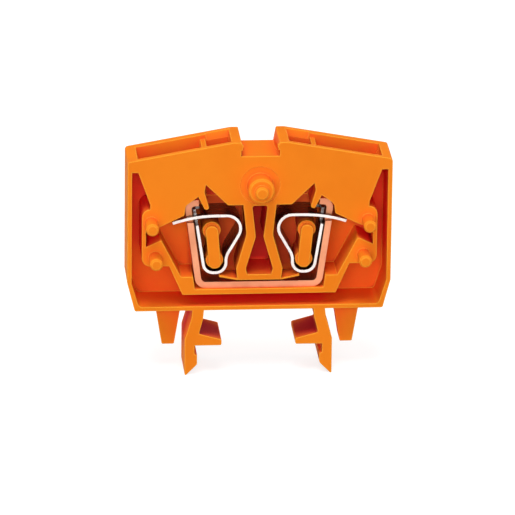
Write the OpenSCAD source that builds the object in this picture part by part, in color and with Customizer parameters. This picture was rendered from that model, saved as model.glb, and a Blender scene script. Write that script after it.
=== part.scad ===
// Feed-through terminal block for a 15 mm mounting rail.
// The open side faces -Y, the closed back faces +Y, X runs along the block and Z is up.
// The origin is on the rail seat, midway along the block and midway through its thickness.

/* [Body] */
// Length of the body
body_l = 31.3; // [31.1:0.1:31.8]
// Thickness of the block, which is its pitch along the rail
body_t = 6; // [5.9:0.1:6.6]
// Thickness of the outer walls
wall = 0.5; // [0.4:0.05:0.6]
// Thickness of the closed back wall
back_wall = 0.6; // [0.5:0.05:0.7]
// Height of the body's underside above the rail seat
body_bottom = 4.45; // [4.3:0.05:4.6]
// Height at which the side walls begin to lean in
shoulder_z = 7.95; // [7.6:0.05:8.3]
// Distance that each side wall leans in at the bottom
taper_in = 0.9; // [0.7:0.05:1.1]
// Height of the level crowns above the rail seat
crown_z = 25.35; // [25.3:0.05:25.9]
// Half length at which a crown ends and the slope begins
crown_half = 3.2; // [3:0.05:3.4]
// Slope of the top, in degrees
top_slope = 10.2; // [9.6:0.2:10.8]
// Radius of the body's upper corners
corner_r = 0.4; // [0.3:0.05:0.6]
// Radius of the body's lower corners
low_corner_r = 0.25; // [0.15:0.05:0.35]
// Radius of the corners inside the lower walls
inside_r = 0.6; // [0.4:0.05:0.8]

/* [Marker notch] */
// Half width of the notch floor
notch_half = 1.95; // [1.85:0.05:2.05]
// Depth of the notch below the crowns
notch_depth = 1.7; // [1.6:0.05:1.8]
// Lean of each notch wall
notch_flare = 0.3; // [0.2:0.05:0.4]
// Radius of the crowns' inner edges
crown_edge_r = 0.15; // [0.1:0.01:0.2]
// Extra half width of the notch floor at its front
notch_undercut = 0.35; // [0.25:0.05:0.4]
// Height of the undercut above the notch floor
undercut_h = 0.75; // [0.65:0.05:0.85]
// Radius of the retaining bead at the front of each notch wall
bead_r = 0.32; // [0.28:0.01:0.36]
// Distance of the beads' centres from the middle
bead_x = 2.35; // [2.3:0.01:2.4]
// Distance of the beads' centres below the crowns
bead_drop = 0.5; // [0.45:0.01:0.55]

/* [Wire entries] */
// Thickness of the front wall of the entries
fascia_t = 0.6; // [0.5:0.05:0.7]
// Thickness of the back wall behind the entries
entry_back = 1; // [0.9:0.05:1.1]
// Thickness of the wall at the outer end of each entry
end_wall = 1.2; // [1.1:0.05:1.3]
// Distance of each separator from the middle
separator_x = 6.5; // [6.4:0.05:6.6]
// Thickness of the separators
separator_t = 0.58; // [0.5:0.02:0.66]
// Distance of a separator's top below the slope
separator_drop = 0.6; // [0.4:0.05:0.8]
// Distance of the screwdriver slot's inner end from the middle
driver_x = 3.4; // [3.3:0.05:3.5]
// Size of the lead-in on the back wall of the screwdriver slot
driver_lead = 0.45; // [0.35:0.05:0.6]
// Height at which the wire funnel begins to narrow
funnel_top_z = 22.6; // [22.3:0.05:22.8]
// Distance of the funnel's throat from the middle
throat_x = 11.9; // [11.7:0.05:12]
// Height of the funnel's throat
throat_z = 17.4; // [17.2:0.05:17.6]
// Radius where the funnel begins to narrow
funnel_r = 0.8; // [0.6:0.05:1]
// Radius of the funnel's throat
throat_r = 1; // [0.8:0.05:1.2]
// Distance of the funnel's foot inside the lower edge's outer end
funnel_foot_in = 0.55; // [0.5:0.01:0.6]
// Distance of the channels' feet above the lower edges of the front plate
channel_foot = 0.2; // [0.15:0.01:0.25]
// Distance of the funnel's inner side inside the hook opening
funnel_side = 0.4; // [0.35:0.01:0.45]
// Drop of the separator's shoulder below the start of the funnel
separator_foot = 0.8; // [0.7:0.05:0.9]

/* [Front plate] */
// Height of the top of the side recesses
recess_top_z = 21.8; // [21.6:0.05:21.9]
// Distance of the slanted edge's top from the middle
slant_top_x = 14.4; // [14.3:0.05:14.5]
// Distance of the slanted edge's foot from the middle
slant_foot_x = 12.97; // [12.9:0.01:13.05]
// Height of the slanted edge's foot
slant_foot_z = 17.8; // [17.6:0.05:18]
// Height of the front plate's lower edge beside the centre web
plate_low_z = 17.6; // [17.5:0.05:17.7]
// Distance of the screwdriver opening's lower corner from the middle
vee_low_x = 3.77; // [3.6:0.01:3.9]
// Distance of the screwdriver opening's apex from the middle
vee_apex_x = 6.42; // [6.38:0.01:6.46]
// Height of the screwdriver opening's apex
vee_apex_z = 20.2; // [20:0.05:20.4]
// Sideways distance of the opening's kink from its apex
vee_kink_x = 0.16; // [0.12:0.01:0.2]
// Drop of the opening's kink below its apex
vee_kink_z = 0.9; // [0.8:0.05:1]
// Distance of the tongue's tip from the middle
tongue_x = 6.25; // [6.2:0.01:6.3]
// Height of the tongue's tip
tongue_z = 17.1; // [16.95:0.05:17.25]
// Width of the tongue
tongue_w = 0.55; // [0.5:0.01:0.6]
// Radius of the tongue's tip
tongue_r = 0.24; // [0.2:0.01:0.25]
// Distance of the hook opening's inner top corner from the middle
hook_open_x = 7.3; // [7.25:0.01:7.4]
// Height of the hook opening's top
hook_open_z = 18.7; // [18.6:0.05:18.8]
// Distance of the hook opening's outer edge from the middle
hook_side_x = 8.95; // [8.9:0.01:9.05]
// Height at which the hook opening meets the lower edge
hook_side_z = 16.4; // [16.3:0.05:16.5]
// Rise of the hook opening's shoulder
hook_shoulder = 1.2; // [1.1:0.05:1.3]
// Lean of the hook opening's outer edge
hook_lean = 0.15; // [0.1:0.01:0.2]
// Radius of the hook opening's shoulder
hook_shoulder_r = 0.8; // [0.7:0.05:0.9]
// Radius of the small corners of the clamp pockets
pocket_r = 0.2; // [0.15:0.01:0.25]
// Height of the lower edge beside the upper pegs
edge_foot_z = 15; // [14.9:0.05:15.1]
// Distance of the lower edge's outer end from the middle
edge_foot_x = 11.83; // [11.75:0.01:11.9]
// Fall of the lower edge from there to the side wall
edge_fall = 0.4; // [0.3:0.05:0.5]

/* [Lower blocks] */
// Distance of the side pocket walls from the middle, outer face
pocket_side_x = 13.94; // [13.85:0.01:14]
// Thickness of the side pocket walls
pocket_wall = 0.47; // [0.4:0.01:0.5]
// Radius of the outer corners of the peg blocks
block_r = 1; // [0.8:0.05:1.1]
// Height of the upper shoulder of the side pocket walls
block_top_z = 17.2; // [17.1:0.05:17.3]
// Height of the lower peg blocks' underside
block_low_z = 10.1; // [10:0.02:10.2]
// Distance of the block apex from the middle
apex_x = 11.66; // [11.6:0.01:11.75]
// Height of the block apex
apex_z = 13.35; // [13.25:0.05:13.45]
// Height at which the block's upper edge meets the side wall
block_side_z = 12.5; // [12.4:0.05:12.6]
// Distance of the wire pocket floor's outer end from the middle
ledge_out_x = 9.28; // [9.2:0.01:9.35]
// Distance of the wire pocket floor's inner end from the middle
ledge_in_x = 7.86; // [7.84:0.01:7.92]
// Height of the wire pocket floor
ledge_z = 8.68; // [8.6:0.02:8.76]
// Distance of the outer diagonal's top from the middle
keel_top_x = 10.7; // [10.62:0.01:10.75]
// Distance of the outer diagonal's foot from the middle
keel_low_x = 9.1; // [9:0.01:9.15]
// Thickness of the wall under the current bar
keel_t = 0.65; // [0.6:0.01:0.7]
// Depth of the clamp pockets from the front
pocket_d = 4.5; // [4.4:0.05:4.6]

/* [Centre web] */
// Half width of the web at its top
web_top_half = 1.96; // [1.9:0.01:2]
// Half width of the web at its waist
web_waist_half = 1.56; // [1.5:0.01:1.6]
// Height of the waist
web_waist_z = 13.9; // [13.7:0.05:14.1]
// Half width of the web at its foot
web_foot_half = 2.75; // [2.65:0.01:2.8]
// Height of the foot's widest place
web_foot_z = 9.6; // [9.4:0.05:9.8]
// Distance that the foot narrows towards its underside
web_foot_in = 0.18; // [0.14:0.01:0.22]
// Radius of the waist
waist_r = 1.5; // [1.3:0.1:1.7]
// Radius of the foot
web_foot_r = 0.6; // [0.5:0.05:0.7]
// Height of the web's underside
web_low_z = 8.2; // [8.15:0.01:8.25]
// Height of the channel under the web, for the bar
bar_room = 1.1; // [1.05:0.01:1.15]
// Wall thickness of the web at its top
web_t = 1.04; // [0.95:0.01:1.08]
// Wall thickness of the web at its waist
web_waist_t = 1.1; // [1.05:0.01:1.15]
// Wall thickness of the web at its foot
web_foot_t = 1.14; // [1.1:0.01:1.2]
// Wall thickness of the web at its base
web_base_t = 1.34; // [1.3:0.01:1.4]
// Distance of the cavity's top below the front plate's lower edge
cavity_drop = 0.1; // [0.05:0.01:0.15]
// Distance of the cavity's waist below the web's waist
cavity_waist = 0.3; // [0.2:0.05:0.4]
// Radius of the cavity's top corners
cavity_top_r = 0.3; // [0.2:0.02:0.36]
// Radius of the cavity's waist
cavity_waist_r = 0.8; // [0.7:0.05:0.9]
// Radius of the cavity's foot
cavity_foot_r = 0.5; // [0.4:0.05:0.6]
// Thickness of the web's lower wall
web_low_t = 0.68; // [0.6:0.01:0.7]
// Reach of each retaining lip beside the web's foot
lip_l = 2.1; // [1.9:0.05:2.2]
// Rise of each retaining lip
lip_rise = 0.42; // [0.36:0.01:0.46]
// Thickness of the retaining lips
lip_t = 0.2; // [0.16:0.01:0.22]
// Depth of the retaining lips from the front
lip_d = 2.4; // [2.2:0.05:2.6]
// Distance of the lips' roots inside the web's foot
lip_root = 0.4; // [0.35:0.01:0.45]
// Distance of the lips' bends inside the web's foot
lip_bend = 0.1; // [0.08:0.01:0.14]

/* [Spring posts] */
// Distance of the upper end of a post from the middle
post_top_x = 5.64; // [5.58:0.01:5.7]
// Height of the centre of the upper end
post_top_z = 14.19; // [14.1:0.01:14.3]
// Radius of the upper end
post_top_r = 1.07; // [1:0.01:1.1]
// Distance of the lower end of a post from the middle
post_low_x = 5.3; // [5.26:0.01:5.34]
// Height of the centre of the lower end
post_low_z = 10.6; // [10.55:0.01:10.7]
// Radius of the lower end
post_low_r = 1.03; // [0.95:0.01:1.05]
// Width of the post's neck
post_neck_w = 1.43; // [1.3:0.01:1.5]
// Length over which the upper end tapers to the neck
post_taper_l = 1.5; // [1.3:0.05:1.7]
// Distance of the rib's foot and of the taper inside the ends' outlines
rib_in = 0.08; // [0.06:0.01:0.12]
// Radius of the rib's corners
rib_r = 0.62; // [0.5:0.02:0.64]
// Depth of the upper end's step from the front
post_step_d = 0.9; // [0.8:0.05:1.1]
// Depth of the lower end's step from the front
post_low_d = 0.55; // [0.45:0.05:0.65]

/* [Pegs and boss] */
// Radius of the pegs
peg_r = 0.75; // [0.7:0.01:0.78]
// Length of the pegs in front of the front plane
peg_l = 2.8; // [2.6:0.05:3]
// Distance of the upper pegs from the middle
peg_up_x = 12.85; // [12.8:0.01:12.9]
// Height of the upper pegs
peg_up_z = 15.55; // [15.45:0.05:15.65]
// Distance of the lower pegs from the middle
peg_low_x = 12.37; // [12.3:0.01:12.42]
// Height of the lower pegs
peg_low_z = 11.2; // [11.15:0.01:11.3]
// Height of the centre boss
boss_z = 20; // [19.9:0.05:20.1]
// Radius of the centre boss
boss_r = 1.55; // [1.45:0.01:1.6]
// Length of the centre boss in front of the front plane
boss_l = 2.3; // [2.1:0.05:2.5]
// Radius of the pin on the boss
boss_pin_r = 0.8; // [0.74:0.01:0.86]
// Length of the pin on the boss
boss_pin_l = 0.9; // [0.8:0.05:1]
// Radius of the shallow dish around the boss
dish_r = 2.36; // [2.2:0.02:2.38]
// Depth of the shallow dish
dish_d = 0.05; // [0.04:0.01:0.08]
// Radial room of the sockets in the back for the next block's pegs
socket_gap = 0.06; // [0.04:0.01:0.08]
// Room at the bottom of the sockets
socket_spare = 0.2; // [0.1:0.05:0.3]
// Thickness of the wall between a socket and a clamp pocket
socket_wall = 0.4; // [0.3:0.05:0.5]
// Chamfer on the tips of pegs and boss
tip_chamfer = 0.2; // [0.1:0.02:0.24]

/* [Rail latches] */
// Width of the mounting rail
rail_w = 15; // [14.9:0.05:15.1]
// Thickness of the rail's flanges
rail_t = 1; // [0.9:0.05:1.1]
// Room around the rail's flanges
rail_gap = 0.12; // [0.08:0.01:0.16]
// Overlap of each hook under the rail
hook_grip = 0.2; // [0.15:0.01:0.3]
// Distance of the seat's inner end from the middle
seat_in_x = 4.4; // [4.3:0.05:4.6]
// Thickness of the seat at its inner end
seat_in_t = 0.7; // [0.6:0.02:0.8]
// Height of the seat's top where it meets the leg
seat_out_t = 1.45; // [1.35:0.05:1.55]
// Thickness of the latch legs at the root
leg_t = 1.38; // [1.3:0.02:1.46]
// Distance of the leg's inner face from the middle at the root
leg_root_x = 6.5; // [6.4:0.05:6.6]
// Distance of the leg's outer face from the middle at the rail
leg_out_x = 8.78; // [8.7:0.02:8.9]
// Length of the latch legs below the seat
leg_drop = 3.9; // [3.7:0.05:4.1]
// Distance of the legs' bends below the body
leg_bend = 1.1; // [1:0.05:1.2]
// Distance that the legs lean out above their bends
leg_lean = 0.13; // [0.1:0.01:0.16]
// Radius of the legs' inner bends
leg_in_r = 1; // [0.9:0.05:1.1]
// Radius of the legs' outer bends
leg_out_r = 1.5; // [1.3:0.1:1.7]
// Height at which the legs' outer faces become upright
leg_side_z = 0.7; // [0.6:0.05:0.8]
// Distance of the seat's root inside the rail's edge
seat_root = 0.5; // [0.45:0.01:0.55]
// Radius of the seat's corners
seat_r = 0.2; // [0.15:0.01:0.25]
// Slope of the hooks' upper faces
hook_slope = 0.15; // [0.1:0.01:0.2]
// Height of the hooks' lead-in slopes
hook_ramp = 1.5; // [1.4:0.05:1.6]
// Radius where a hook's lead-in slope begins
hook_ramp_r = 0.5; // [0.4:0.02:0.6]
// Radius of the latch legs' tips
leg_tip_r = 0.12; // [0.1:0.01:0.14]

/* [Feet] */
// Distance of the feet from the middle
foot_x = 10.65; // [10.5:0.05:10.8]
// Width of a foot at its root
foot_root_w = 3.2; // [3:0.05:3.4]
// Width of a foot at its end
foot_end_w = 1.45; // [1.35:0.05:1.55]
// Distance of the foot's end below the rail seat
foot_drop = 0.6; // [0.4:0.05:0.8]
// Depth of the foot's front from the front plane
foot_d = 2.4; // [2.2:0.05:2.6]
// Radius of the corners of a foot's end
foot_r = 0.15; // [0.1:0.01:0.2]

/* [Current bar] */
// Thickness of the bar
bar_t = 0.75; // [0.7:0.01:0.78]
// Depth of the bar's front edge from the front plane
bar_d = 0.45; // [0.4:0.05:0.5]
// Width of the bar where it passes through the springs
bar_neck_w = 2.6; // [2.5:0.05:2.65]
// Height at which the bar narrows
bar_neck_z = 15.3; // [15.2:0.02:15.4]
// Lean of the bar's arms, in degrees
bar_lean = 7.7; // [7.5:0.1:7.9]
// Distance of the arm's centre line from the middle, at the bottom of the bar
bar_root_x = 7.13; // [7.1:0.01:7.15]
// Centre line radius of the lower bends
bar_bend_r = 0.95; // [0.85:0.01:1]
// Height of the hooks' centre line
hook_z = 17.5; // [17.45:0.01:17.55]
// Length of the hooks
hook_l = 1.32; // [1.25:0.01:1.36]
// Centre line radius of the hooks
hook_r = 0.75; // [0.7:0.01:0.8]
// Rise of the hooks towards their ends
hook_rise = 0.05; // [0.03:0.01:0.08]

/* [Clamp springs] */
// Thickness of the spring strip
spring_t = 0.33; // [0.3:0.01:0.36]
// Depth of the spring's front edge from the front plane
spring_d = 0.3; // [0.25:0.01:0.35]
// Height of the level part of the clamping leg
spring_top_z = 16.18; // [16.14:0.01:16.2]
// Distance of the clamping leg's crest from the middle
crest_x = 7.66; // [7.6:0.01:7.7]
// Length of the drooping end of the clamping leg
droop_l = 2.76; // [2.7:0.01:2.8]
// Droop of the clamping leg's end, in degrees
droop = 18; // [17:0.2:18.4]
// Radius of the clamping leg's curve
droop_r = 16; // [15:0.2:16.4]
// Distance from the middle at which the upper bend's tangents meet
nose_x = 1.07; // [1.04:0.01:1.1]
// Radius of the upper bend
nose_r = 1.63; // [1.58:0.01:1.68]
// Lean of the back leg below the upper bend, in degrees
back_lean = 29.6; // [29.2:0.1:30]
// Distance of the back leg's lower part from the middle
back_x = 3.95; // [3.93:0.01:3.97]
// Radius of the bend between the back leg's two parts
back_r = 2.2; // [1.8:0.1:2.6]
// Height of the lower bend's centre line
loop_z = 9.06; // [9.02:0.01:9.08]
// Radius of the lower bend
loop_r = 1.22; // [1.15:0.01:1.24]
// Distance of the inner leg's foot from the middle
inner_x = 6.47; // [6.45:0.01:6.49]
// Lean of the inner leg, in degrees
inner_lean = 8.9; // [8.7:0.1:9]
// Height of the inner leg's end
inner_top_z = 16.55; // [16.5:0.01:16.6]
// Height at which the inner leg narrows
inner_neck_z = 15; // [14.9:0.05:15.1]
// Width of the strips beside the window
window_side = 0.7; // [0.65:0.01:0.72]
// Distance of the window's inner end from the middle
window_in_x = 6.9; // [6.8:0.01:7]
// Room between the bar and the window's sides
window_gap = 0.03; // [0.02:0.01:0.06]
// Distance of the window's lower edge above the inner leg's neck
window_rise = 0.2; // [0.15:0.01:0.25]
// Distance of the inner leg's narrow end inside the strip's edges
inner_end_in = 1.4; // [1.3:0.05:1.5]

/* [Hidden] */
$fn = 48;
// Number of straight pieces that stand for one rounded corner
arc_steps = 8;
// Small overrun for cuts
eps = 0.05;
body_half = body_l / 2;
notch_z = crown_z - notch_depth;
bar_floor_z = web_low_z - bar_room;
keel_low_z = bar_floor_z - keel_t;
bar_mid_z = bar_floor_z + bar_t / 2;
spring_w = pocket_d - spring_d;
spring_mid_d = spring_d + spring_w / 2;
bar_w = pocket_d - bar_d;
rail_half = rail_w / 2 + rail_gap;
hook_top_z = -rail_t - rail_gap;
hook_in_x = rail_w / 2 - hook_grip;
socket_r = peg_r + socket_gap;
socket_d = body_t - peg_l - socket_spare;
post_top = [post_top_x, post_top_z];
post_low = [post_low_x, post_low_z];
// Height above the crowns to which the entries are cut
cut_z = crown_z + 1;
// Largest part of a side that one rounded corner may take up
fillet_share = 0.98;
orange = [0.95, 0.50, 0.12];
copper = [0.90, 0.60, 0.43];
steel = [0.86, 0.86, 0.86];

// Height of the sloped top at a distance x from the middle
function top_at(x) = crown_z - max(0, x - crown_half) * tan(top_slope);

// Centre line of the bar's arm and of the spring's inner leg at a height z
function arm_x(z) = bar_root_x + (z - bar_mid_z) * tan(bar_lean);
function inner_leg_x(z) = inner_x + (z - loop_z) * tan(inner_lean);

// One rounded corner b between the points a and c, no longer than the sides beside it
function unit(v) = v / norm(v);
function fillet(a, b, c, r) =
    let (u = unit(a - b))
    let (v = unit(c - b))
    let (half = acos(u * v) / 2)
    let (fit = min(r, fillet_share * min(norm(a - b), norm(c - b)) * tan(half)))
    let (centre = b + unit(u + v) * fit / sin(half))
    let (first = b + u * fit / tan(half) - centre)
    let (last = b + v * fit / tan(half) - centre)
    let (start = atan2(first.y, first.x))
    let (sweep = (atan2(last.y, last.x) - start + 540) % 360 - 180)
    [for (i = [0 : arc_steps])
        let (turn = start + sweep * i / arc_steps)
        centre + fit * [cos(turn), sin(turn)]];

function flat(p) = [p.x, p.y];
function radius(p) = len(p) > 2 ? p[2] : 0;

// Corners [x, z] or [x, z, radius] of a closed outline, with the rounded ones worked out
function rounded(corners) =
    let (n = len(corners))
    [for (i = [0 : n - 1])
        let (b = corners[i])
        let (a = corners[(i + n - 1) % n])
        let (c = corners[(i + 1) % n])
        each radius(b) > 0 ? fillet(flat(a), flat(b), flat(c), b[2]) : [flat(b)]];

// The same for an open line
function rounded_line(corners) =
    let (n = len(corners))
    [for (i = [0 : n - 1])
        each i > 0 && i < n - 1 && radius(corners[i]) > 0
            ? fillet(flat(corners[i - 1]), flat(corners[i]), flat(corners[i + 1]), corners[i][2])
            : [flat(corners[i])]];

// Left-hand normal of a line at its point i
function turned(v) = [-v.y, v.x];
function normal_at(line, i) =
    let (before = unit(line[i] - line[max(i - 1, 0)] + (i == 0 ? line[1] - line[0] : [0, 0])))
    let (after = i == len(line) - 1 ? before : unit(line[i + 1] - line[i]))
    let (mean = unit(before + after))
    turned(mean) / (mean * after);

// Outline of a bent strip of thickness t along a line
function strip(line, t) =
    concat(
        [for (i = [0 : len(line) - 1]) line[i] + normal_at(line, i) * t / 2],
        [for (i = [len(line) - 1 : -1 : 0]) line[i] - normal_at(line, i) * t / 2]);

// Mirror images of a half outline, and a slab between two depths behind the front plane
function mirrored(points) = [for (p = points) radius(p) > 0 ? [-p.x, p.y, p[2]] : [-p.x, p.y]];
function reversed(points) = [for (i = [len(points) - 1 : -1 : 0]) points[i]];
function whole(half) = concat(half, reversed(mirrored(half)));

module slab(from, to) {
    translate([0, to - body_t / 2, 0])
        rotate([90, 0, 0])
            linear_extrude(to - from)
                children();
}

module both_sides() {
    for (side = [0, 1])
        mirror([side, 0, 0])
            children();
}

// A round pin that points to the front, from a depth, with a chamfered tip
module front_pin(x, z, r, length) {
    translate([x, -body_t / 2, z])
        rotate([90, 0, 0])
            union() {
                cylinder(r = r, h = length - tip_chamfer);
                translate([0, 0, length - tip_chamfer])
                    cylinder(r1 = r, r2 = r - tip_chamfer, h = tip_chamfer);
            }
}

// A blind round socket in the back
module back_socket(x, z, r, depth) {
    translate([x, body_t / 2 + eps, z])
        rotate([90, 0, 0])
            cylinder(r = r, h = depth + eps);
}

// Half outline of the towers' top, from the notch to the outer wall
function top_corners() = [
    [0, notch_z],
    [notch_half, notch_z],
    [notch_half + notch_flare, crown_z, crown_edge_r],
    [crown_half, crown_z],
    [body_half, top_at(body_half), corner_r]];

// Outline of the whole body
function body_corners() = whole(concat(
    top_corners(),
    [[body_half, shoulder_z],
     [body_half - taper_in, body_bottom, low_corner_r],
     [0, body_bottom]]));

// Room inside the outer walls
function inside_corners() = whole([
    [0, recess_top_z],
    [body_half - wall, recess_top_z],
    [body_half - wall, shoulder_z],
    [body_half - taper_in - wall, body_bottom + wall, inside_r],
    [0, body_bottom + wall]]);

// The front plate with the peg blocks and the keel: everything that reaches the front plane
function plate_corners() = whole(concat(
    top_corners(),
    [[body_half, recess_top_z],
     [slant_top_x, recess_top_z],
     [slant_foot_x, slant_foot_z],
     [slant_foot_x, block_top_z],
     [pocket_side_x, block_top_z, block_r],
     [pocket_side_x, block_low_z, block_r],
     [keel_top_x, block_low_z],
     [keel_low_x, keel_low_z],
     [0, keel_low_z]]));

// Clamp pocket of one side, open at the front
function clamp_pocket_corners() = [
    [web_top_half, plate_low_z],
    [web_waist_half, web_waist_z, waist_r],
    [web_foot_half, web_foot_z, web_foot_r],
    [web_foot_half - web_foot_in, web_low_z],
    [-eps, web_low_z],
    [-eps, bar_floor_z],
    [ledge_in_x - (ledge_z - bar_floor_z) * tan(bar_lean), bar_floor_z],
    [ledge_in_x, ledge_z],
    [ledge_out_x, ledge_z],
    [apex_x, apex_z, pocket_r],
    [pocket_side_x - pocket_wall, block_side_z],
    [pocket_side_x - pocket_wall, edge_foot_z - edge_fall],
    [edge_foot_x, edge_foot_z],
    [hook_side_x, hook_side_z, pocket_r],
    [hook_side_x - hook_lean, hook_side_z + hook_shoulder, hook_shoulder_r],
    [hook_open_x, hook_open_z],
    [tongue_x + tongue_w / 2, tongue_z, tongue_r],
    [tongue_x - tongue_w / 2, tongue_z, tongue_r],
    [vee_apex_x + vee_kink_x, vee_apex_z - vee_kink_z],
    [vee_apex_x, vee_apex_z],
    [vee_low_x, plate_low_z]];

// Cavity inside the centre web
function web_cavity_corners() = whole([
    [0, plate_low_z - cavity_drop],
    [web_top_half - web_t, plate_low_z - cavity_drop, cavity_top_r],
    [web_waist_half - web_waist_t, web_waist_z - cavity_waist, cavity_waist_r],
    [web_foot_half - web_foot_t, web_foot_z, cavity_foot_r],
    [web_foot_half - web_base_t, web_low_z + web_low_t],
    [0, web_low_z + web_low_t]]);

// Wire funnel behind the front plate of one side
function funnel_corners() = [
    [separator_x + separator_t / 2, cut_z],
    [body_half - end_wall, cut_z],
    [body_half - end_wall, funnel_top_z, funnel_r],
    [throat_x, throat_z, throat_r],
    [edge_foot_x - funnel_foot_in, edge_foot_z + channel_foot],
    [hook_side_x - funnel_side, edge_foot_z + channel_foot],
    [hook_side_x - funnel_side, hook_side_z + hook_shoulder],
    [hook_open_x, hook_open_z],
    [separator_x + separator_t / 2, funnel_top_z - separator_foot]];

// Screwdriver channel behind the front plate of one side
function driver_corners() = [
    [driver_x, cut_z],
    [separator_x - separator_t / 2, cut_z],
    [separator_x - separator_t / 2, vee_apex_z],
    [vee_apex_x + vee_kink_x, vee_apex_z - vee_kink_z],
    [tongue_x - tongue_w / 2, plate_low_z - channel_foot],
    [vee_low_x + channel_foot, plate_low_z - channel_foot],
    [driver_x, vee_apex_z]];

// Top of the separator between the two slots of one side
function separator_cut_corners() = [
    [separator_x - separator_t, cut_z],
    [separator_x + separator_t, cut_z],
    [separator_x + separator_t, top_at(separator_x + separator_t) - separator_drop],
    [separator_x - separator_t, top_at(separator_x - separator_t) - separator_drop]];

// Latch leg of one side, with the seat that rests on the rail
function latch_corners() = [
    [leg_root_x, body_bottom + wall / 2],
    [leg_root_x + leg_lean, body_bottom - leg_bend, leg_in_r],
    [rail_half - seat_root, seat_out_t, seat_r],
    [seat_in_x, seat_in_t, seat_r],
    [seat_in_x, 0, seat_r],
    [rail_half, 0],
    [rail_half, hook_top_z],
    [hook_in_x, hook_top_z - hook_slope],
    [hook_in_x, -leg_drop + hook_ramp, hook_ramp_r],
    [leg_out_x, -leg_drop, leg_tip_r],
    [leg_out_x, leg_side_z, leg_in_r],
    [leg_root_x + leg_t + leg_lean, body_bottom - leg_bend, leg_out_r],
    [leg_root_x + leg_t, body_bottom + wall / 2]];

function foot_corners() = [
    [foot_x - foot_root_w / 2, body_bottom + wall / 2],
    [foot_x + foot_root_w / 2, body_bottom + wall / 2],
    [foot_x + foot_end_w / 2, -foot_drop, foot_r],
    [foot_x - foot_end_w / 2, -foot_drop, foot_r]];

function lip_corners() = [
    [web_foot_half - lip_root, web_low_z],
    [web_foot_half - lip_root, web_low_z + web_low_t / 2],
    [web_foot_half - lip_bend, web_low_z + lip_t],
    [web_foot_half - lip_bend + lip_l, web_low_z + lip_t + lip_rise],
    [web_foot_half - lip_bend + lip_l, web_low_z + lip_rise],
    [web_foot_half - lip_bend, web_low_z]];

// Direction of a spring post from its upper end to its lower one, and the ends of its front rib
post_axis = unit(post_low - post_top);
post_across = turned(post_axis);
rib_top = post_top - post_axis * post_neck_w / 2;
rib_low = post_low + post_axis * (post_low_r - rib_in);

function rib_corners() = [
    concat(rib_top + post_across * post_neck_w / 2, rib_r),
    concat(rib_low + post_across * post_neck_w / 2, rib_r),
    concat(rib_low - post_across * post_neck_w / 2, rib_r),
    concat(rib_top - post_across * post_neck_w / 2, rib_r)];

// A spring post: a tapered upper end and a round lower one behind a straight rib
module post() {
    taper_end = post_top + post_axis * post_taper_l;
    slab(post_step_d, body_t - back_wall) {
        translate(post_top)
            circle(r = post_top_r);
        polygon([
            post_top + post_across * (post_top_r - rib_in),
            taper_end + post_across * (post_neck_w / 2 - rib_in),
            taper_end - post_across * (post_neck_w / 2 - rib_in),
            post_top - post_across * (post_top_r - rib_in)]);
    }
    slab(post_low_d, body_t - back_wall) {
        translate(post_low)
            circle(r = post_low_r);
    }
    slab(spring_d / 2, body_t - back_wall)
        polygon(rounded(rib_corners()));
}

// Lead-in along the back wall of the screwdriver slot
module driver_lead_in() {
    start_x = driver_x - eps;
    translate([start_x, body_t / 2 - entry_back, top_at(driver_x) + eps * tan(top_slope)])
        rotate([0, top_slope, 0])
            rotate([90, 0, 90])
                linear_extrude(separator_x - separator_t / 2 - start_x)
                    polygon([[-eps, -2 * driver_lead], [driver_lead, eps], [-eps, eps]]);
}

// Undercut at the foot of a notch wall, widest at the front
module notch_relief() {
    translate([notch_half, -body_t / 2, notch_z])
        linear_extrude(undercut_h)
            polygon([[-eps, -eps], [notch_undercut, -eps], [-eps, body_t - back_wall]]);
}

// Clamp pocket of one side, kept clear of the socket behind the upper peg
module clamp_pocket() {
    slab(-eps, socket_d - socket_wall)
        polygon(rounded(clamp_pocket_corners()));
    slab(-eps, pocket_d)
        difference() {
            polygon(rounded(clamp_pocket_corners()));
            translate([peg_up_x, peg_up_z])
                circle(r = socket_r + socket_wall);
        }
}

module housing_shell() {
    difference() {
        slab(0, body_t)
            polygon(rounded(body_corners()));
        slab(-eps, body_t - back_wall)
            difference() {
                polygon(rounded(inside_corners()));
                polygon(rounded(plate_corners()));
            }
    }
}

module housing_cavities() {
    slab(-eps, body_t - back_wall)
        polygon(rounded(web_cavity_corners()));
    both_sides() {
        clamp_pocket();
        notch_relief();
        slab(fascia_t, body_t - entry_back) {
            polygon(rounded(funnel_corners()));
            polygon(rounded(driver_corners()));
            polygon(separator_cut_corners());
        }
        driver_lead_in();
        back_socket(peg_up_x, peg_up_z, socket_r, peg_l + socket_spare);
        back_socket(peg_low_x, peg_low_z, socket_r, peg_l + socket_spare);
    }
    back_socket(0, boss_z, boss_r + socket_gap, boss_l + socket_spare);
    back_socket(0, boss_z, boss_pin_r + socket_gap, boss_l + boss_pin_l + socket_spare);
    slab(-eps, dish_d)
        translate([0, boss_z])
            circle(r = dish_r);
}

module housing() {
    color(orange)
        union() {
            difference() {
                housing_shell();
                housing_cavities();
            }
            both_sides() {
                post();
                slab(0, lip_d)
                    polygon(lip_corners());
                slab(0, fascia_t)
                    translate([bead_x, crown_z - bead_drop])
                        circle(r = bead_r);
                front_pin(peg_up_x, peg_up_z, peg_r, peg_l);
                front_pin(peg_low_x, peg_low_z, peg_r, peg_l);
                slab(0, body_t)
                    polygon(rounded(latch_corners()));
                slab(foot_d, body_t - back_wall)
                    polygon(rounded(foot_corners()));
            }
            translate([0, dish_d, 0])
                front_pin(0, boss_z, boss_r, boss_l + dish_d);
            translate([0, -boss_l, 0])
                front_pin(0, boss_z, boss_pin_r, boss_pin_l);
        }
}

// Centre line of the bar, from hook to hook
function bar_half_line() = [
    [arm_x(hook_z) - hook_l, hook_z + hook_rise],
    [arm_x(hook_z), hook_z, hook_r],
    [bar_root_x, bar_mid_z, bar_bend_r]];

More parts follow.
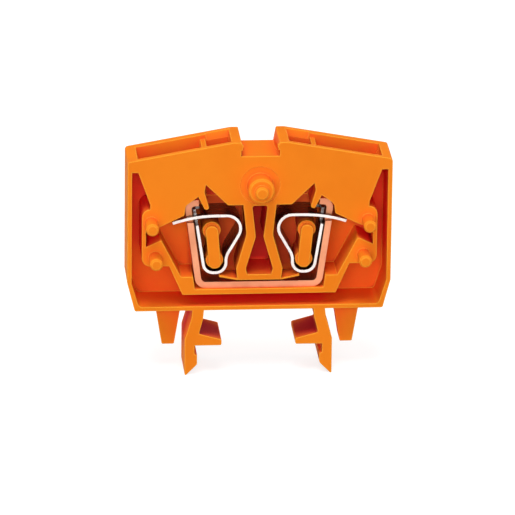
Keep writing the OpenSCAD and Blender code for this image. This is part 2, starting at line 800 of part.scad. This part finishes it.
module current_bar() {
    line = rounded_line(whole(bar_half_line()));
    shape = strip(line, bar_t);
    neck_d = spring_mid_d - bar_neck_w / 2;
    color(copper)
        intersection() {
            slab(bar_d, pocket_d)
                polygon(shape);
            union() {
                slab(bar_d - eps, pocket_d + eps)
                    translate([-body_half, 0])
                        square([body_l, bar_neck_z]);
                slab(neck_d, neck_d + bar_neck_w)
                    translate([-body_half, 0])
                        square([body_l, crown_z]);
            }
        }
}

// Centre line of the right-hand spring, from the end of the clamping leg to the inner leg
function spring_line() =
    let (back_top_z = spring_top_z - (back_x - nose_x) / tan(back_lean))
    rounded_line([
        [crest_x + droop_l * cos(droop), spring_top_z - droop_l * sin(droop)],
        [crest_x, spring_top_z, droop_r],
        [nose_x, spring_top_z, nose_r],
        [back_x, back_top_z, back_r],
        [back_x, loop_z, loop_r],
        [inner_x, loop_z, loop_r],
        [inner_leg_x(inner_neck_z), inner_neck_z]]);

module clamp_spring() {
    window_w = spring_w - 2 * window_side;
    window_out_x = arm_x(spring_top_z) + bar_t / 2 / cos(bar_lean) + window_gap;
    union() {
        difference() {
            slab(spring_d, pocket_d)
                polygon(strip(spring_line(), spring_t));
            slab(spring_d + window_side, spring_d + window_side + window_w)
                translate([window_in_x, inner_neck_z + window_rise])
                    square([window_out_x - window_in_x, spring_top_z + spring_t - inner_neck_z]);
        }
        slab(spring_d + inner_end_in, pocket_d - inner_end_in)
            polygon(strip([
                [inner_leg_x(inner_neck_z), inner_neck_z],
                [inner_leg_x(inner_top_z), inner_top_z]], spring_t));
    }
}

module clamp_spring_right() {
    color(steel)
        clamp_spring();
}

module clamp_spring_left() {
    color(steel)
        mirror([1, 0, 0])
            clamp_spring();
}

housing();
current_bar();
clamp_spring_left();
clamp_spring_right();
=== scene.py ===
# Looks for a feed-through terminal block: materials, light, floor and camera around the fixed frame.
import math

import bpy
from mathutils import Matrix, Vector


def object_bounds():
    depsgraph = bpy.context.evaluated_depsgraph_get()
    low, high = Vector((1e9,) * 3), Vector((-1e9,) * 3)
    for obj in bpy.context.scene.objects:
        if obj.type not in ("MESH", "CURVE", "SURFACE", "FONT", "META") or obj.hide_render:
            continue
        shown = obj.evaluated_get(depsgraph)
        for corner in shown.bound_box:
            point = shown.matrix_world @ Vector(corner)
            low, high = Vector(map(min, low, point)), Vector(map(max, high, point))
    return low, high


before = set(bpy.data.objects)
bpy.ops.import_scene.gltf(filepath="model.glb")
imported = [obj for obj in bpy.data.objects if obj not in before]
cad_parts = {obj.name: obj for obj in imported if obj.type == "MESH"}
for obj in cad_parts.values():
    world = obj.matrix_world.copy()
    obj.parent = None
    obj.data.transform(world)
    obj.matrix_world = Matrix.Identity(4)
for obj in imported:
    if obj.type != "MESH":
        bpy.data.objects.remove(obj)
CAD_BOX = [list(map(float, corner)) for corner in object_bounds()]

MM = 0.001
WHITE = (1, 1, 1, 1)

# Camera, set to the photograph's viewing angle
IMAGE_PX = 515
VIEW_AZIMUTH = -4.8
VIEW_ELEVATION = 19.8
VIEW_ROLL = 0.68
VIEW_DISTANCE = 705 * MM
VIEW_TARGET = Vector((0.02, 0.0, 9.92)) * MM
VIEW_REACH = 20
FOCAL_PX = 5930
SENSOR_MM = 36

# Lamps: place in mm, watts, size in mm, and whether reflections show them.
# The fill lamps stay out of reflections, so that no glare lies on the level faces.
LAMPS = {
    "key": ((-90, -600, 160), 1.8, 320, True),
    "top": ((-60, -170, 480), 1.65, 260, True),
    "fill_left": ((-590, 60, 60), 1.4, 300, False),
    "fill_right": ((590, 60, 60), 1.4, 300, False),
    "fill_back": ((60, 590, 60), 2.4, 300, False),
}
WORLD_STRENGTH = 0.28

# Floor
FLOOR_SIZE = 6
FLOOR_COLOUR = (0.40, 0.40, 0.40, 1)
FLOOR_ROUGHNESS = 0.9
# White that the camera and reflections see on the floor, above what the lamps give it
FLOOR_GLOW = 0.76

# Colours of the moulding, linear
ORANGE = (0.90, 0.235, 0.013, 1)
ORANGE_DEEP = (0.86, 0.212, 0.011, 1)
# Painted highlight on the edges that lie in the open
ORANGE_EDGE_HIGHLIGHT = (1.0, 0.42, 0.04, 1)
# Painted deep red shade in hollow places
ORANGE_HOLLOW_SHADE = (1.0, 0.034, 0.028, 1)
# Painted shade, darker still, in inner corners
ORANGE_CORNER_SHADE = (0.34, 0.008, 0.010, 1)
# Painted shade in the roofed-over places listed below
ORANGE_ROOFED_SHADE = (0.44, 0.010, 0.018, 1)

# Surface of the moulding. Noise is given as scale and detail, and stops as value and result.
FLOW_NOISE = (160, 3)
FLOW_STOPS = [(0.35, ORANGE_DEEP), (0.62, ORANGE)]
GRAIN_NOISE = (9000, 2)
GRAIN_STRENGTH = 0.12
GRAIN_DEPTH = 0.02 * MM
MOULDED_EDGE_R = 0.12 * MM
# Radius that finds the edges for the painted highlight
HIGHLIGHT_EDGE_R = 0.24 * MM
MOULDED_ROUGHNESS = (0.52, 0.66)
MOULDED_SPECULAR = 0.03

# Painted shade of the moulding: how far each kind looks for walls, and its stops by the open share of the
# view
HOLLOW_REACH = 5 * MM
HOLLOW_STOPS = [(0.12, 0), (0.32, 0.66), (0.58, 0.58), (0.7, 0.86), (0.86, 1)]
CORNER_REACH = 1 * MM
CORNER_STOPS = [(0.2, 0), (0.58, 1)]
ROOF_REACH = 10 * MM
ROOF_STOPS = [(0.36, 1), (0.7, 0)]
# Painted shade in the latch seats, web cavity, and upper and lower clamp pockets, where little light gets
# in:
# limits in mm of the distance from the middle, of the depth and of the height, and strength of the shade
ROOFED_ZONES = [
    ((4.2, 7.2), (-3.2, 3.2), (0.5, 4.2), 1.0),
    ((-1, 1.8), (-3.2, 3.2), (9.3, 16.2), 0.62),
    ((2.2, 8), (-1, 3.2), (15.2, 18.8), 0.55),
    ((2.2, 8), (-1, 3.2), (8.6, 15.2), 0.4),
]
ZONE_BORDER = 0.4

# Copper strip
COPPER = (0.86, 0.35, 0.185, 1)
COPPER_DULL = (0.76, 0.28, 0.14, 1)
# Painted shade on the rolled faces
COPPER_FACE_SHADE = (0.62, 0.27, 0.15, 1)
PATCH_NOISE = (420, 4)
PATCH_STOPS = [(0.34, COPPER_DULL), (0.58, COPPER)]
STREAK_NOISE = (5200, 3)
STREAK_SCALE = (1, 0.08, 1)
STREAK_STRENGTH = 0.2
STREAK_DEPTH = 0.01 * MM
COPPER_EDGE_R = 0.05 * MM
COPPER_ROUGHNESS = (0.34, 0.5)
COPPER_EDGE_METALLIC = 0.4

# Spring strip
# Sheared edges, painted white as a highlight, duller in random patches
STEEL = (1.0, 0.93, 0.89, 1)
STEEL_DULL = (0.92, 0.83, 0.78, 1)
# Painted shade on the rolled faces and on edges that walls close in on
STEEL_FACE_SHADE = (0.15, 0.135, 0.13, 1)
TARNISH_NOISE = (600, 3)
TARNISH_STOPS = [(0.36, STEEL_DULL), (0.56, STEEL)]
LINE_NOISE = (7000, 2)
LINE_SCALE = (0.05, 1, 0.05)
LINE_STRENGTH = 0.15
LINE_DEPTH = 0.006 * MM
STEEL_EDGE_R = 0.04 * MM
STEEL_ROUGHNESS = (0.2, 0.34)
STEEL_EDGE_METALLIC = 0.3
# Painted shade on the spring's edges where walls close in: reach and stops
SPRING_SHADE_REACH = 3 * MM
SPRING_SHADE_STOPS = [(0.28, 0), (0.58, 1)]

METAL_SPECULAR = 0.25

# Part of a noise's range that is spread over a surface's roughness
NOISE_LOW = 0.3
NOISE_HIGH = 0.7
# Agreement of the rounded and the flat normal on a flat, and on an edge that takes the whole painted
# highlight
FLAT_AGREEMENT = 0.998
EDGE_AGREEMENT = 0.90
BEVEL_SAMPLES = 6
OCCLUSION_SAMPLES = 12


class Look:
    """A Principled material and the nodes that feed it. Inputs take plain values or sockets."""

    def __init__(self, name):
        self.material = bpy.data.materials.new(name)
        self.material.use_nodes = True
        self.nodes = self.material.node_tree.nodes
        self.links = self.material.node_tree.links
        self.shader = self.nodes["Principled BSDF"]

    def feed(self, socket, value):
        if isinstance(value, bpy.types.NodeSocket):
            self.links.new(value, socket)
        else:
            socket.default_value = value

    def finish(self, inputs):
        for name, value in inputs.items():
            self.feed(self.shader.inputs[name], value)
        return self.material

    def node(self, kind, inputs):
        node = self.nodes.new("ShaderNode" + kind)
        for name, value in inputs.items():
            self.feed(node.inputs[name], value)
        return node

    def coordinates(self, kind):
        return self.node("TexCoord", {}).outputs[kind]

    def stretched(self, coordinates, scale):
        return self.node("Mapping", {"Vector": coordinates, "Scale": scale}).outputs["Vector"]

    def axes(self, vector):
        return self.node("SeparateXYZ", {"Vector": vector}).outputs

    def noise(self, coordinates, scale, detail):
        inputs = {"Vector": coordinates, "Scale": scale, "Detail": detail}
        return self.node("TexNoise", inputs).outputs["Fac"]

    def calculate(self, operation, *values):
        node = self.node("Math", {})
        node.operation = operation
        for value, socket in zip(values, node.inputs):
            self.feed(socket, value)
        return node.outputs["Value"]

    def spread(self, value, low, high, start=NOISE_LOW, end=NOISE_HIGH):
        inputs = {"Value": value, "From Min": start, "From Max": end, "To Min": low, "To Max": high}
        return self.node("MapRange", inputs).outputs["Result"]

    def ramp(self, value, stops):
        node = self.node("ValToRGB", {"Fac": value})
        elements = node.color_ramp.elements
        for position, colour in stops[1:-1]:
            elements.new(position).color = colour
        elements[0].position, elements[0].color = stops[0]
        elements[-1].position, elements[-1].color = stops[-1]
        return node.outputs["Color"]

    def blend(self, factor, first, second):
        node = self.node("Mix", {"Factor": factor})
        node.data_type = "RGBA"
        for name, colour in (("A", first), ("B", second)):
            self.feed(next(s for s in node.inputs if s.name == name and s.type == "RGBA"), colour)
        return next(s for s in node.outputs if s.type == "RGBA")

    def rounded(self, radius):
        node = self.node("Bevel", {"Radius": radius})
        node.samples = BEVEL_SAMPLES
        return node.outputs["Normal"]

    def bump(self, height, strength, depth, normal):
        inputs = {"Height": height, "Strength": strength, "Distance": depth, "Normal": normal}
        return self.node("Bump", inputs).outputs["Normal"]

    def open_share(self, reach, stops, own=True):
        # From narrow pockets, where the open share of the view is near 0, to the open, where it is 1
        node = self.node("AmbientOcclusion", {"Distance": reach})
        node.samples = OCCLUSION_SAMPLES
        node.only_local = own
        greys = [(share, (grey, grey, grey, 1)) for share, grey in stops]
        return self.ramp(node.outputs["AO"], greys)

    def highlit_edges(self, radius):
        # 1 on the edges that the radius rounds, 0 on the flats: where the painted highlight goes
        flat = self.node("NewGeometry", {}).outputs["True Normal"]
        agreement = self.node("VectorMath", {})
        agreement.operation = "DOT_PRODUCT"
        self.feed(agreement.inputs[0], self.rounded(radius))
        self.feed(agreement.inputs[1], flat)
        return self.spread(agreement.outputs["Value"], 0, 1, FLAT_AGREEMENT, EDGE_AGREEMENT)

    def sheared_edges(self):
        # 1 on a strip's sheared edges, which face along Y, and 0 on its rolled faces
        return self.calculate("ABSOLUTE", self.axes(self.coordinates("Normal"))["Y"])

    def zone(self, place, limits, strength):
        # The strength inside a box that is mirrored in X, fading to 0 over its border
        axes = self.axes(place)
        values = (self.calculate("ABSOLUTE", axes["X"]), axes["Y"], axes["Z"])
        inside = strength
        for value, (low, high) in zip(values, limits):
            for start, end in ((low - ZONE_BORDER, low), (high + ZONE_BORDER, high)):
                mask = self.spread(value, 0, 1, start * MM, end * MM)
                inside = self.calculate("MULTIPLY", inside, mask)
        return inside

    # Painted shade in the roofed-over zones, stronger where walls close in
    def roofed_shade(self, place):
        zones = [self.zone(place, limits, strength) for *limits, strength in ROOFED_ZONES]
        shade = zones[0]
        for other in zones[1:]:
            shade = self.calculate("MAXIMUM", shade, other)
        return self.calculate("MULTIPLY", shade, self.open_share(ROOF_REACH, ROOF_STOPS))


def moulded_plastic():
    # Satin polyamide: slight flow marks and a fine eroded grain, with a painted highlight on the edges and
    # painted deep red shade in hollow places, inner corners and roofed-over spots
    look = Look("moulded_plastic")
    place = look.coordinates("Object")
    flow = look.noise(place, *FLOW_NOISE)
    grain = look.noise(place, *GRAIN_NOISE)
    unshaded_share = look.open_share(HOLLOW_REACH, HOLLOW_STOPS)
    # Painted highlight on the edges, kept off where painted shade lies
    edge_highlights = look.calculate("MULTIPLY", look.highlit_edges(HIGHLIGHT_EDGE_R), unshaded_share)
    colour = look.ramp(flow, FLOW_STOPS)
    # Painted deep red shade in hollow places
    colour = look.blend(unshaded_share, ORANGE_HOLLOW_SHADE, colour)
    # Painted shade in inner corners
    colour = look.blend(look.open_share(CORNER_REACH, CORNER_STOPS), ORANGE_CORNER_SHADE, colour)
    # Painted shade in the roofed-over places
    colour = look.blend(look.roofed_shade(place), colour, ORANGE_ROOFED_SHADE)
    colour = look.blend(edge_highlights, colour, ORANGE_EDGE_HIGHLIGHT)
    return look.finish({
        "Base Color": colour,
        "Roughness": look.spread(flow, *MOULDED_ROUGHNESS),
        "Normal": look.bump(grain, GRAIN_STRENGTH, GRAIN_DEPTH, look.rounded(MOULDED_EDGE_R)),
        "Specular IOR Level": MOULDED_SPECULAR,
    })


def bare_copper():
    # Sheared strip: patchy edges with fine streaks across them, and rolled faces painted darker as shade
    look = Look("bare_copper")
    place = look.coordinates("Object")
    patches = look.noise(place, *PATCH_NOISE)
    streaks = look.noise(look.stretched(place, STREAK_SCALE), *STREAK_NOISE)
    sheared = look.sheared_edges()
    return look.finish({
        # Painted shade: the rolled faces darker than the sheared edges
        "Base Color": look.blend(sheared, COPPER_FACE_SHADE, look.ramp(patches, PATCH_STOPS)),
        "Roughness": look.spread(patches, *COPPER_ROUGHNESS),
        "Normal": look.bump(streaks, STREAK_STRENGTH, STREAK_DEPTH, look.rounded(COPPER_EDGE_R)),
        "Metallic": look.spread(sheared, 1, COPPER_EDGE_METALLIC, 0, 1),
        "Specular IOR Level": METAL_SPECULAR,
    })


def spring_steel():
    # Rolled strip with fine rolling lines: sheared edges painted white as a highlight where no walls close
    # in on them, and faces painted dark as shade
    look = Look("spring_steel")
    place = look.coordinates("Object")
    tarnish = look.noise(place, *TARNISH_NOISE)
    lines = look.noise(look.stretched(place, LINE_SCALE), *LINE_NOISE)
    # Painted shade on edges that walls close in on, painted highlight on the rest
    unshaded = look.open_share(SPRING_SHADE_REACH, SPRING_SHADE_STOPS, own=False)
    lit_edges = look.calculate("MULTIPLY", unshaded, look.sheared_edges())
    return look.finish({
        "Base Color": look.blend(lit_edges, STEEL_FACE_SHADE, look.ramp(tarnish, TARNISH_STOPS)),
        "Roughness": look.spread(lines, *STEEL_ROUGHNESS),
        "Normal": look.bump(lines, LINE_STRENGTH, LINE_DEPTH, look.rounded(STEEL_EDGE_R)),
        "Metallic": look.spread(lit_edges, 1, STEEL_EDGE_METALLIC, 0, 1),
        "Specular IOR Level": METAL_SPECULAR,
    })


def white_floor():
    # Grey under the lamps, so that it keeps the shadow, and white to the camera and in reflections
    look = Look("floor")
    rays = look.node("LightPath", {}).outputs
    seen = rays["Is Camera Ray"]
    for kind in ("Is Glossy Ray", "Is Transmission Ray"):
        seen = look.calculate("MAXIMUM", seen, rays[kind])
    return look.finish({
        "Base Color": FLOOR_COLOUR,
        "Roughness": FLOOR_ROUGHNESS,
        "Specular IOR Level": 0,
        "Emission Color": WHITE,
        "Emission Strength": look.calculate("MULTIPLY", seen, FLOOR_GLOW),
    })


def dress(node, material):
    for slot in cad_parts[node].material_slots:
        slot.material = material


def make_floor():
    low = CAD_BOX[0][2]
    bpy.ops.mesh.primitive_plane_add(size=FLOOR_SIZE, location=(0, 0, low))
    floor = bpy.context.object
    floor.name = "floor"
    floor.data.materials.append(white_floor())


def make_world():
    world = bpy.data.worlds.new("studio")
    world.use_nodes = True
    background = world.node_tree.nodes["Background"]
    background.inputs["Color"].default_value = WHITE
    background.inputs["Strength"].default_value = WORLD_STRENGTH
    bpy.context.scene.world = world


def make_lamp(name, place, watts, size, reflected):
    data = bpy.data.lights.new(name, "AREA")
    data.energy = watts
    data.size = size * MM
    lamp = bpy.data.objects.new(name, data)
    lamp.location = Vector(place) * MM
    lamp.rotation_euler = (VIEW_TARGET - lamp.location).to_track_quat("-Z", "Y").to_euler()
    lamp.visible_glossy = reflected
    bpy.context.collection.objects.link(lamp)


def make_camera():
    azimuth = math.radians(VIEW_AZIMUTH)
    elevation = math.radians(VIEW_ELEVATION)
    back = Vector((math.sin(azimuth) * math.cos(elevation),
                   -math.cos(azimuth) * math.cos(elevation),
                   math.sin(elevation)))
    data = bpy.data.cameras.new("camera")
    data.sensor_width = SENSOR_MM
    data.lens = FOCAL_PX / IMAGE_PX * SENSOR_MM
    data.clip_end = VIEW_REACH
    camera = bpy.data.objects.new("camera", data)
    turn = back.to_track_quat("Z", "Y").to_matrix().to_4x4()
    roll = Matrix.Rotation(math.radians(VIEW_ROLL), 4, "Z")
    camera.matrix_world = Matrix.Translation(VIEW_TARGET + back * VIEW_DISTANCE) @ turn @ roll
    bpy.context.collection.objects.link(camera)
    bpy.context.scene.camera = camera


dress("housing", moulded_plastic())
dress("current_bar", bare_copper())
steel = spring_steel()
dress("clamp_spring_left", steel)
dress("clamp_spring_right", steel)
make_floor()
make_world()
for lamp_name, settings in LAMPS.items():
    make_lamp(lamp_name, *settings)
make_camera()
bpy.context.scene.view_settings.view_transform = "Standard"
